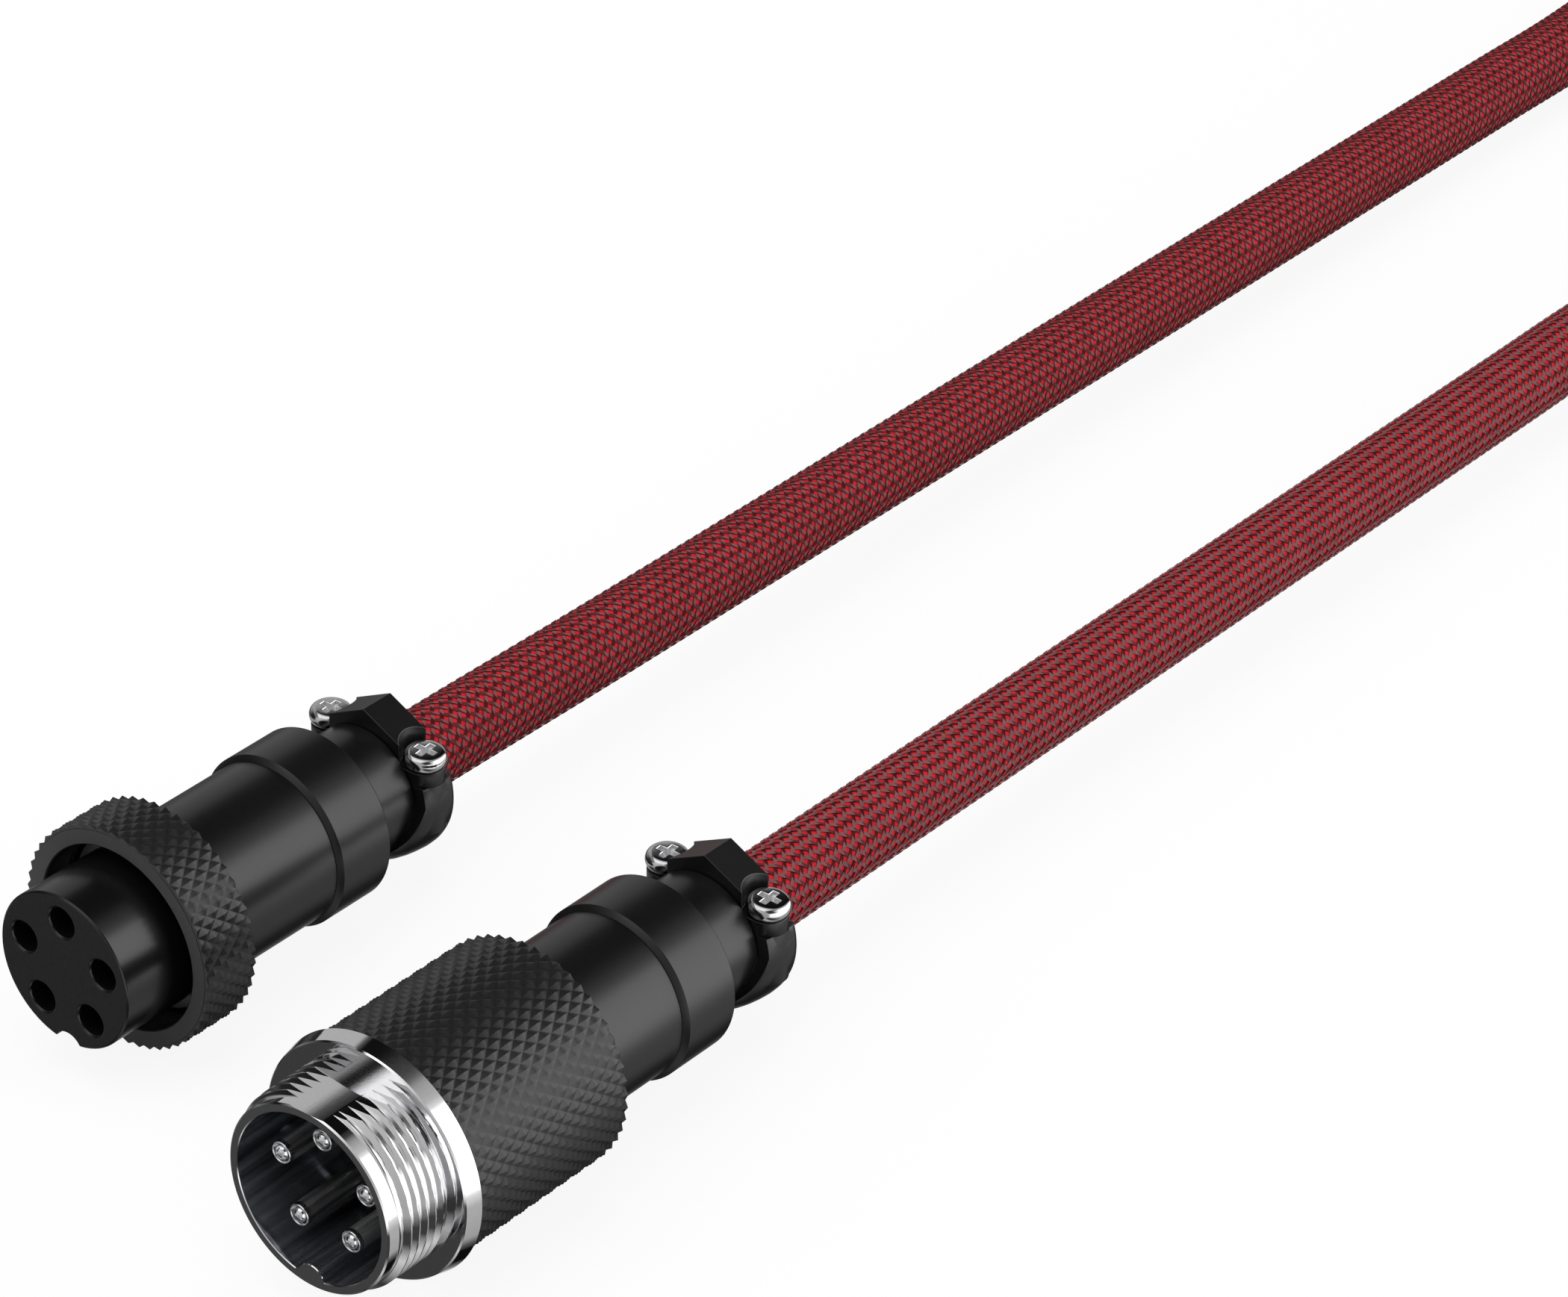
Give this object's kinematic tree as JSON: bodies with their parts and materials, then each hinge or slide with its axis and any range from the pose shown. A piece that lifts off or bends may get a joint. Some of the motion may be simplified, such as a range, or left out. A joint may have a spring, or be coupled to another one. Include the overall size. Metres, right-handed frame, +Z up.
{
  "type": "five-pole screw-coupled lead",
  "caption": "Braided lead with a five-pole screw-coupled socket plug and its matching threaded pin plug, the spare cord wound in a tied hank.",
  "frame": {"origin": "centre of the two plugs' common bounding box in plan, at the surface they lie on", "axes": "+Z up from the surface; +X along the plugs from their mating faces towards the cord; +Y from the pin plug to the socket plug"},
  "size_m": [0.3674, 0.0632, 0.0222],
  "materials": {
    "anodised_black": "satin anodised",
    "moulded_black": "matte",
    "polished_chrome": "polished",
    "dark_chrome": "polished, dark",
    "spring_steel": "brushed",
    "contact_gold": "gold plated",
    "clear_film": "clear film",
    "core_insulation": "gloss",
    "braid_red": "braided",
    "strap_black": "woven"
  },
  "bodies": {
    "lead": {"ring_clip": "spring_steel", "socket_insert": "moulded_black", "socket_contacts": "contact_gold", "plug_barrel": "anodised_black", "plug_rear_shell": "anodised_black", "plug_insulator": "clear_film", "plug_core_wires": "core_insulation", "plug_saddle": "anodised_black", "plug_clamp_screws": "dark_chrome", "threaded_shell": "polished_chrome", "pin_insert": "moulded_black", "contact_pins": "polished_chrome", "knurled_sleeve": "anodised_black", "male_barrel": "anodised_black", "male_rear_shell": "anodised_black", "male_insulator": "clear_film", "male_core_wires": "core_insulation", "male_saddle": "anodised_black", "male_clamp_screws": "dark_chrome", "plug_side_cord": "braid_red", "cord_hank": "braid_red", "male_side_cord": "braid_red", "hank_tie": "strap_black"},
    "ring": {"coupling_ring": "anodised_black"}
  },
  "joints": [
    {"name": "coupling_ring_turn", "type": "hinge", "parent": "lead", "child": "ring", "pos_m": [-0.00563, 0.01678, 0.00937], "axis": [0.9997, 0, -0.0261], "continuous": true}
  ]
}
